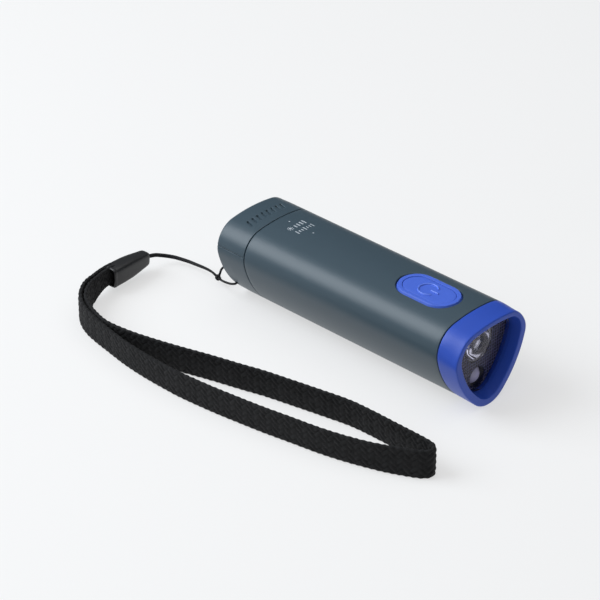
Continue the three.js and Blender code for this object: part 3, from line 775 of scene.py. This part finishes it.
# ---------------- tail cap
CAP_PARTING_Z = 23.2 + LIFT
CAP_WALL = 1.8
PARTING_DEPTH = 0.14
PARTING_HALF_WIDTH = 0.2
# the row of grip strokes in the cap's top
MARK_COUNT = 8
MARK_PITCH = 2.3
MARK_FIRST_Y = -8.6
MARK_X = -45.7
MARK_HALF = 1.6
MARK_REACH = MARK_HALF + 0.3
MARK_STROKE = 0.42
MARK_EDGE = 0.12
MARK_SLANT = 0.32
MARK_DEPTH = 0.8
MARKS_ABOVE_Z = 25


def grip_mark(x, y):
    """How deep the row of slanted grip strokes is at a point of the cap's top, 0 to 1."""
    if abs(x - MARK_X) > MARK_REACH:
        return 0.0
    along = y + MARK_SLANT * (x - MARK_X) - MARK_FIRST_Y
    nearest = max(0, min(MARK_COUNT - 1, round(along / MARK_PITCH)))
    across = abs(along - nearest * MARK_PITCH)
    beyond = max(0.0, abs(x - MARK_X) - (MARK_HALF - MARK_STROKE))
    return 1 - step(math.hypot(across, beyond), MARK_STROKE - MARK_EDGE, MARK_STROKE + MARK_EDGE)


def cap_push(x, y, z):
    """How far the cap's surface is pushed in: the parting groove and the grip strokes."""
    groove = PARTING_DEPTH * math.exp(-(((z - CAP_PARTING_Z) / PARTING_HALF_WIDTH) ** 2))
    return groove + (MARK_DEPTH * grip_mark(x, y) if z > MARKS_ABOVE_Z else 0.0)


def cap_spacing(y, z):
    """Close stations at the grip strokes and the parting groove, wide ones elsewhere."""
    if z > 29 and abs(y) < 11:
        return 0.13
    return 0.12 if abs(z - CAP_PARTING_Z) < 0.8 else 0.55


def cap_ring_spacing(x, inset):
    """Close rings where the grip strokes are, wide ones elsewhere."""
    return 0.14 if abs(x - MARK_X) < MARK_REACH and inset < 1 else 1.0


def build_cap(material):
    """The tail cap in its two halves, with grip strokes sunk in the top and the lanyard's eye."""
    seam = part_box("tail_cap_upper")[1].x / MM
    solid_from = REAR_X + 6.3
    outline = [
        (solid_from, CAP_WALL, 0.0),
        (seam, CAP_WALL, 0.1),
        (seam, 0.0, 0.28),
        (MARK_X + MARK_REACH, 0.0, 0.0),
        (MARK_X - MARK_REACH, 0.0, 0.0),
        (REAR_X, 0.15, 0.62),
        (REAR_X, 8.0, 0.0),
    ]
    profile = densified(rounded(outline, steps=9, closed=False), cap_ring_spacing, closed=False)
    points, faces = capped(section_rings(profile, stations(cap_spacing), cap_push))
    for name, keep, slot_gap in (("upper", 1, 0.1), ("lower", -1, -0.1)):
        half = new_piece(f"cap_{name}", points, faces, material, "tail", 50)
        split_at(half.data, CAP_PARTING_Z + slot_gap, keep)
        if keep < 0:
            cut_lanyard_eye(half, material)
        half.data.set_sharp_from_angle(angle=math.radians(50))
        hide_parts(f"tail_cap_{name}")


def split_at(mesh, z, keep):
    """Keeps the part of a closed mesh above (keep 1) or below (keep -1) a level, and closes it."""
    work = bmesh.new()
    work.from_mesh(mesh)
    geometry = work.verts[:] + work.edges[:] + work.faces[:]
    bmesh.ops.bisect_plane(
        work, geom=geometry, plane_co=(0, 0, z * MM), plane_no=(0, 0, -keep), clear_outer=True
    )
    open_edges = [e for e in work.edges if e.is_boundary]
    filled = bmesh.ops.holes_fill(work, edges=open_edges, sides=0)["faces"]
    bmesh.ops.triangulate(work, faces=filled)
    bmesh.ops.recalc_face_normals(work, faces=work.faces)
    work.to_mesh(mesh)
    work.free()


def cut_lanyard_eye(half, material):
    """Cuts the lanyard's hole, which slants from the cap's side out to its rear face."""
    start = Vector((REAR_X + 4.05, -12.4, 4.5 + LIFT))
    end = Vector((REAR_X - 1.35, -4.0, 8.8 + LIFT))
    radius, steps = 1.0, 24
    path = [start.lerp(end, k / steps) for k in range(steps + 1)]
    points, faces = capped(tube_rings(path, [radius] * len(path), 32))
    tool = new_piece("eye_tool", points, faces, material, "tail")
    cut = half.modifiers.new("eye", "BOOLEAN")
    cut.operation = "DIFFERENCE"
    cut.solver = "EXACT"
    cut.object = tool
    apply_modifiers(half)
    half.data.polygons.foreach_set("use_smooth", [True] * len(half.data.polygons))
    bpy.data.objects.remove(tool, do_unlink=True)


# ---------------- tubes along a path
def frames_along(path):
    """A direction and two sideways vectors at each point, which turn as little as they can."""
    tangents = []
    for i in range(len(path)):
        before, after = path[max(i - 1, 0)], path[min(i + 1, len(path) - 1)]
        tangents.append((after - before).normalized())
    side = tangents[0].cross(Vector((0, 0, 1))).normalized()
    found = []
    for along in tangents:
        side = (side - along * side.dot(along)).normalized()
        found.append((along, side, along.cross(side)))
    return found


def tube_rings(path, radii, sides):
    """Round rings of the given radii along a path."""
    rings = []
    for point, radius, (_, side, up) in zip(path, radii, frames_along(path)):
        turns = [2 * math.pi * k / sides for k in range(sides)]
        rings.append([
            tuple(point + side * radius * math.cos(t) + up * radius * math.sin(t)) for t in turns
        ])
    return rings


def smooth_path(points, per_span=12):
    """A Catmull-Rom curve through the points."""
    points = [Vector(p) for p in points]
    ends = [2 * points[0] - points[1], *points, 2 * points[-1] - points[-2]]
    found = []
    for a, b, c, d in zip(ends, ends[1:], ends[2:], ends[3:]):
        for k in range(per_span):
            t = k / per_span
            found.append(
                0.5 * (2 * b + (c - a) * t + (2 * a - 5 * b + 4 * c - d) * t**2
                       + (3 * b - a - 3 * c + d) * t**3)
            )
    found.append(points[-1])
    return found


def path_length(path):
    return sum((b - a).length for a, b in zip(path, path[1:]))


def resampled(path, spacing):
    """Evenly spaced points along a path."""
    total = path_length(path)
    count = max(2, round(total / spacing) + 1)
    found, walked, i = [], 0.0, 0
    for k in range(count):
        goal = total * k / (count - 1)
        while i < len(path) - 2 and walked + (path[i + 1] - path[i]).length < goal:
            walked += (path[i + 1] - path[i]).length
            i += 1
        span = (path[i + 1] - path[i]).length
        found.append(path[i].lerp(path[i + 1], (goal - walked) / span))
    return found


# ---------------- lanyard
def build_cord(material):
    """The doubled cord: two strands side by side from the knot to the ferrule."""
    laid = resampled(smooth_path(LAID_ROUTE), TWIST_STEP)
    frames = frames_along(laid)
    points, faces = [], []
    for strand in range(2):
        path = []
        for k, (centre, (_, side, up)) in enumerate(zip(laid, frames)):
            turn = 2 * math.pi * k * TWIST_STEP / TWIST_PITCH + math.pi * strand + FIRST_TURN
            path.append(centre + (side * math.cos(turn) + up * math.sin(turn)) * STRAND_OFFSET)
        add_part(points, faces, capped(tube_rings(path, [STRAND_R] * len(path), 10)))
    cord = new_piece("doubled_cord", points, faces, material, "tail", 60)
    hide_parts("lanyard_cord")
    return cord


def build_eye_loop(material):
    """The strand that runs from the knot through the eye and back to the knot."""
    route = [
        tuple(KNOT + Vector((0.3, -0.2, 0.1))), (-59.8, -8.5, 3.2), (-57.6, -9.2, 3.8),
        (-55.2, -9.9, 4.6), (-53.0, -10.4, 5.4), (-51.4, -10.3, 6.1), (-51.2, -9.4, 6.5),
        EYE, (-53.6, -5.7, 8.3), (-55.2, -5.0, 8.6), (-57.8, -4.6, 8.6),
        (-60.2, -5.2, 7.7), (-61.5, -6.4, 6.2), (-61.7, -7.2, 4.6),
        tuple(KNOT + Vector((0.2, 0.2, 0.4))),
    ]
    path = resampled(smooth_path(route), 0.2)
    points, faces = capped(tube_rings(path, [STRAND_R] * len(path), 12))
    return new_piece("eye_loop", points, faces, material, "tail", 60)


def build_knot(material):
    """The small knot where the loop through the eye closes, with the cord's cut end."""
    along = Vector((-0.9, 0.3, 0.05)).normalized()
    side = along.cross(Vector((0, 0, 1))).normalized()
    up = along.cross(side)
    turns, steps, length, wrap_r = 2.0, 60, 1.1, 0.62
    path = []
    for k in range(steps + 1):
        t = k / steps
        turn = 2 * math.pi * turns * t
        sideways = side * math.cos(turn) + up * math.sin(turn)
        path.append(KNOT + along * (t - 0.5) * length + sideways * wrap_r)
    points, faces = capped(tube_rings(path, [0.38] * len(path), 10))
    stub_start, stub_end = KNOT + Vector((0.2, 0.6, 0.3)), KNOT + Vector((1.2, -0.5, 1.3))
    stub_path = [stub_start.lerp(stub_end, k / 6) for k in range(7)]
    add_part(points, faces, capped(tube_rings(stub_path, [0.34] * 6 + [0.3], 10)))
    return new_piece("cord_knot", points, faces, material, "tail", 60)


def build_ferrule(material):
    """The tapered sleeve that joins the cord to the strap."""
    along = (FERRULE_NOSE - FERRULE_MOUTH).normalized()
    across = Vector((along.y, -along.x, 0)).normalized()
    length = (FERRULE_NOSE - FERRULE_MOUTH).length
    shape = [  # distance along, half width, half height
        (2.6, 2.3, 3.1), (0.0, 2.55, 3.3), (-0.02, 2.85, 3.5), (0.25, 3.15, 3.7),
        (0.9, 3.2, 3.74), (1.15, 3.08, 3.62), (1.4, 3.14, 3.66), (5.0, 3.12, 3.64),
        (8.5, 3.02, 3.5), (11.0, 2.85, 3.28), (13.0, 2.66, 3.02), (15.0, 2.44, 2.76),
        (16.9, 2.22, 2.56), (17.7, 2.0, 2.4), (18.2, 1.65, 2.1), (length, 1.2, 1.6),
        (length + 0.02, 0.6, 0.6), (length - 1.5, 0.55, 0.55),
    ]
    count, squareness = 72, 0.42
    rings = []
    for distance, half_wide, half_tall in shape:
        centre = FERRULE_MOUTH + along * distance
        ring = []
        for k in range(count):
            turn = 2 * math.pi * (k + 0.5) / count
            c, s = math.cos(turn), math.sin(turn)
            wide = half_wide * math.copysign(abs(c) ** squareness, c)
            tall = half_tall * math.copysign(abs(s) ** squareness, s)
            ring.append(tuple(centre + across * wide + Vector((0, 0, tall))))
        rings.append(ring)
    points, faces = capped(rings)
    ferrule = new_piece("strap_ferrule", points, faces, material, "tail", 35)
    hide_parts("lanyard_ferrule")
    return ferrule


STRAND_SPACING = 2.3
WEAVE_DEPTH = 0.62
STRAND_ROUNDNESS = 0.96
CROSSING_SHARPNESS = 1.3
POINTS_ACROSS = 38
SELVEDGE_EXTRA = 0.33
SERRATION = 0.045


def weave(u, v, side):
    """The height of a flat two-over, two-under braid, 0 to 1, at u along and v across it."""
    best = 0.0
    c = ((u - v) / STRAND_SPACING, (u + v) / STRAND_SPACING)
    for own, other, sign in ((c[0], c[1], side), (c[1], c[0], -side)):
        strand = round(own)
        d = 2 * (own - strand)
        body = math.sqrt(max(0.0, 1 - STRAND_ROUNDNESS * d * d))
        over = math.sqrt(2) * math.cos(math.pi / 2 * (strand + other) - math.pi / 4) * sign
        over = max(-1.0, min(1.0, CROSSING_SHARPNESS * over))
        best = max(best, body * (0.62 + 0.38 * over))
    return best


def strap_edges(x, y):
    """The heights of the strap's two edges, and how far its top leans. It is gathered narrower
    near the ferrule and leans only on its two long runs."""
    at_ferrule = step(y, -52.0, -38.0) * step(-x, 60.0, 75.0)
    on_runs = step(x, -80.0, -55.0) * step(-x, -64.0, -45.0)
    low = STRAP_LOW_Z + (SQUEEZED_LOW_Z - STRAP_LOW_Z) * at_ferrule
    high = STRAP_LOW_Z + STRAP_WIDTH
    high += (SQUEEZED_HIGH_Z - high) * at_ferrule
    return low, high, STRAP_LEAN * on_runs


def strap_ring(centre, side, u):
    """One section of the strap, u along it, with the braid raised on both faces and thicker
    selvedges. v goes from -1 to 1 across it."""
    half_thick = STRAP_THICK / 2 - WEAVE_DEPTH * 0.75
    low, high, lean = strap_edges(centre.x, centre.y)
    half_width = (high - low) / 2 - 0.06
    serration = 0.5 + 0.5 * math.cos(2 * math.pi * u / STRAND_SPACING)
    ring = []
    for face in (1, -1):
        for j in range(POINTS_ACROSS):
            v = -math.cos(math.pi * (j + 0.5) / POINTS_ACROSS) * face
            v = math.copysign(abs(v) ** 0.8, v)
            reach = half_width * (1 + SERRATION * (serration - 0.6) * abs(v) ** 6)
            body = (half_thick + SELVEDGE_EXTRA * abs(v) ** 10) * (1 - abs(v) ** 26) ** 0.5
            relief = WEAVE_DEPTH * weave(u, v * half_width, face) * (1 - abs(v) ** 9)
            point = centre + side * (body + relief) * face
            ring.append((point.x, point.y - lean * v / 2, (low + high) / 2 + v * reach))
    return ring


def build_strap(material):
    """The braided strap: a band on its edge, gathered narrower where it enters the ferrule."""
    path = resampled(smooth_path([(x, y, 0.0) for x, y in STRAP_ROUTE]), 0.25)
    total = path_length(path)
    spacing = total / (len(path) - 1)
    rings = [
        strap_ring(centre, side, k * spacing)
        for k, (centre, (_, side, _)) in enumerate(zip(path, frames_along(path)))
    ]
    points, faces = capped(rings)
    strap = new_piece("braided_strap", points, faces, material, "tail", 70)
    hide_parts("wrist_strap")
    return strap, total


# ---------------- optics
def turned_rings(profile, z):
    """Rings about an axis along X at y 0, from (x, radius) pairs."""
    count = 64
    return [
        [
            (x, radius * math.cos(2 * math.pi * k / count),
             z + radius * math.sin(2 * math.pi * k / count))
            for k in range(count)
        ]
        for x, radius in profile
    ]


def build_lens(material):
    """The clear window that closes the recess."""
    outline = [
        (LENS_REAR_X, 9.0, 0.0),
        (LENS_REAR_X, 3.3, 0.15),
        (LENS_FRONT_X, 3.3, 0.3),
        (LENS_FRONT_X, 9.0, 0.0),
    ]
    profile = rounded(outline, steps=4, closed=False)
    points, faces = capped(section_rings(profile, stations(even(0.6))))
    window = new_piece("front_window", points, faces, material, "housing", 40)
    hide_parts("lens_window")


def build_main_optic(material):
    """The main optic: a clear cone with a dimple in its front and a pocket for its light."""
    front, rear = OPTIC_FRONT_X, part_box("main_optic")[0].x / MM
    profile = [
        (front - 0.9, 0.3), (front - 0.9, 2.6), (front - 0.1, 3.0), (front, 3.2), (front, MAIN_R),
        (front - 1.1, MAIN_R), (front - 1.2, MAIN_R - 0.5), (front - 2.8, 5.6),
        (front - 4.4, 4.9), (front - 6.2, 3.9), (rear, 2.7), (rear, 1.8), (rear + 2.3, 1.7),
        (rear + 2.7, 0.3),
    ]
    points, faces = capped(turned_rings(profile, MAIN_Z))
    optic = new_piece("main_collimator", points, faces, material, "housing", 30)
    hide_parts("main_optic")


def build_reflector(material):
    """The bright cup round the main optic."""
    front, rear, wall = OPTIC_FRONT_X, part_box("main_optic")[0].x / MM, 0.2
    inner = [
        (front - 1.4, 6.45), (front - 3.0, 5.95), (front - 4.6, 5.25), (front - 6.4, 4.25),
        (rear + 0.3, 3.1),
    ]
    outer = [(x, r + wall) for x, r in reversed(inner)]
    rings = turned_rings(inner + outer, MAIN_Z)
    new_piece(
        "main_reflector", flat(rings), ring_faces(rings, looped=True), material, "housing",
        30,
    )


def build_side_optic(material):
    """The side optic: a domed front on a short stem."""
    front, rear, dome = OPTIC_FRONT_X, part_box("side_optic")[0].x / MM, 2.8
    foot, stem_r = front - 3.4, 2.2
    profile = [
        (front - dome * (1 - math.sqrt(1 - (r / SIDE_R) ** 2)), r)
        for r in (0.3, 0.8, 1.3, 1.8, 2.3, 2.7, 3.0, 3.2, SIDE_R)
    ]
    profile += [(foot, SIDE_R), (foot, stem_r), (rear, stem_r), (rear, 0.3)]
    points, faces = capped(turned_rings(profile, SIDE_Z))
    optic = new_piece("side_lens", points, faces, material, "housing", 40)
    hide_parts("side_optic")


def inside(y, z, outline):
    """Whether a point is inside a closed outline of (y, z) points."""
    crossings = 0
    for (y0, z0), (y1, z1) in zip(outline, outline[1:] + outline[:1]):
        if (z0 > z) != (z1 > z) and y < y0 + (z - z0) * (y1 - y0) / (z1 - z0):
            crossings += 1
    return crossings % 2 == 1


def clear_runs(is_clear, low, high):
    """The stretches of a line, from low to high, along which is_clear holds."""
    gap, shortest = 0.1, 0.3
    runs, start = [], None
    count = round((high - low) / gap)
    for k in range(count + 1):
        t = low + gap * k
        if is_clear(t):
            start = t if start is None else start
        elif start is not None:
            runs.append((start, t - gap))
            start = None
    return [run for run in runs if run[1] - run[0] > shortest]


def build_holder_grid(material):
    """The fine square ribs on the front of the optic holder, round its two optics, coloured far
    lighter than the black holder as a painted highlight on their edges.
    """
    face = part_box("optic_holder")[1].x / MM
    pitch, half_base, half_top, height, root = 1.15, 0.085, 0.045, 0.14, 0.05
    outline = [at(place, 3.5) for place in stations(even(0.8))]
    optics = ((MAIN_Z, MAIN_R + 0.35), (SIDE_Z, SIDE_R + 0.35))
    section = [
        (face - root, -half_base), (face + height, -half_top),
        (face + height, half_top), (face - root, half_base),
    ]

    def is_clear(y, z):
        apart = all(math.hypot(y, z - centre) > r for centre, r in optics)
        return apart and inside(y, z, outline)

    points, faces = [], []
    for k in range(-14, 15):
        at_y, at_z = k * pitch, MAIN_Z + (k - 3) * pitch
        upright = clear_runs(lambda z: is_clear(at_y, z), 0.0, 33.0)
        level = clear_runs(lambda y: is_clear(y, at_z), -16.0, 16.0)
        for runs, place in ((upright, lambda along, off: (at_y + off, along)),
                            (level, lambda along, off: (along, at_z + off))):
            for run in runs:
                ends = [[(x, *place(along, off)) for x, off in section] for along in run]
                add_part(points, faces, capped(ends))
    new_piece("holder_grid", points, faces, material, "housing", 30)


# ---------------- carried-over CAD nodes
NODE_FINISHES = [  # the start of a node's name, and its finish; the first that fits is used
    ("led_board", "board_white"), ("heat_sink", "aluminium"), ("main_led", "phosphor"),
    ("side_led", "phosphor"), ("board_screw", "steel"), ("driver_screw", "steel"),
    ("driver_board", "board_green"), ("driver_capacitor", "aluminium"),
    ("positive_spring", "brass"), ("negative_leaf", "brass"), ("cell_spring", "steel"),
    ("cell_contact", "brass"), ("cell_", "jacket"), ("cap_seal", "rubber"),
    ("optic_holder", "holder_black"), ("", "black"),
]


def paint_nodes(finishes):
    """Gives every CAD node its finish, whether it shows or is replaced."""
    for name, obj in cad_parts.items():
        finish = next(finish for start, finish in NODE_FINISHES if name.startswith(start))
        obj.data.materials.clear()
        obj.data.materials.append(finishes[finish])


def make_finishes():
    """Every material but the floor's, by name, without the number a taken name is given."""
    made = [
        finish_of("slate", (0.04, 0.066, 0.086), 0.41, specular=0.42, mottle=0.04, grain_size=0.25),
        finish_of("blue", (0.022, 0.07, 0.42), 0.42, specular=0.3, mottle=0.03, grain_size=0.25),
        finish_of("button_blue", (0.05, 0.12, 0.58), 0.5, mottle=0.03, grain_size=0.2),
        # the power sign: the pad's blue made lighter, a painted highlight standing in for the light
        # on its raised strokes
        finish_of("sign_blue_painted_highlight", (0.1, 0.19, 0.7), 0.4, mottle=0.03, grain_size=0.2),
        finish_of("black", (0.02, 0.02, 0.022), 0.5),
        finish_of("holder_black", (0.012, 0.01, 0.02), 0.35),
        # the holder's ribs: light grey-lilac on the black holder, a painted highlight standing in for
        # the light their edges catch in the shaded recess
        finish_of("holder_rib_painted_highlight", (0.16, 0.16, 0.25), 0.3),
        finish_of("ferrule_black", (0.012, 0.012, 0.013), 0.42, grain_size=0.3),
        finish_of("ink", (0.42, 0.46, 0.5), 0.5, mottle=0.15, mottle_size=0.8),
        clear_plastic("window_clear", (0.9, 0.89, 0.98), 0.02, ior=1.12),
        clear_plastic("clear", (0.96, 0.97, 1.0), 0.03),
        clear_plastic("frosted", (0.8, 0.78, 0.93), 0.2, transmission=0.3),
        finish_of("mirror", (0.78, 0.78, 0.76), 0.14, metallic=1.0, mottle=0.04),
        yarn("cord_yarn", (0.008, 0.008, 0.009), (0.03, 0.03, 0.032), 0.7, 0.15),
        yarn("strap_yarn", (0.004, 0.004, 0.0043), (0.02, 0.02, 0.021), 0.72, 0.2),
        finish_of("steel", (0.55, 0.56, 0.57), 0.3, metallic=1.0),
        finish_of("brass", (0.75, 0.6, 0.3), 0.3, metallic=1.0),
        finish_of("aluminium", (0.6, 0.61, 0.62), 0.35, metallic=1.0),
        finish_of("board_white", (0.75, 0.75, 0.72), 0.4),
        finish_of("board_green", (0.02, 0.15, 0.06), 0.35),
        finish_of("phosphor", (0.85, 0.65, 0.12), 0.5),
        finish_of("rubber", (0.3, 0.02, 0.02), 0.55),
        finish_of("jacket", (0.16, 0.18, 0.21), 0.3, metallic=0.6),
    ]
    return {material.name.split(".")[0]: material for material in made}


def build_lanyard(finishes):
    """The cord with its knot, loop and ferrule, and the wrist strap."""
    cord = build_cord(finishes["cord_yarn"])
    knot = build_knot(finishes["cord_yarn"])
    loop = build_eye_loop(finishes["cord_yarn"])
    ferrule = build_ferrule(finishes["ferrule_black"])
    strap, strap_length = build_strap(finishes["strap_yarn"])


def main():
    place_camera()
    finishes = make_finishes()
    build_lanyard(finishes)
    make_studio()
    build_body(finishes["slate"])
    build_bezel(finishes["blue"])
    build_surround(finishes["button_blue"])
    build_pad(finishes["button_blue"], finishes["sign_blue_painted_highlight"])
    build_print(finishes["ink"])
    build_cap(finishes["slate"])
    build_lens(finishes["window_clear"])
    build_main_optic(finishes["clear"])
    build_reflector(finishes["mirror"])
    build_side_optic(finishes["frosted"])
    build_holder_grid(finishes["holder_rib_painted_highlight"])
    paint_nodes(finishes)


main()
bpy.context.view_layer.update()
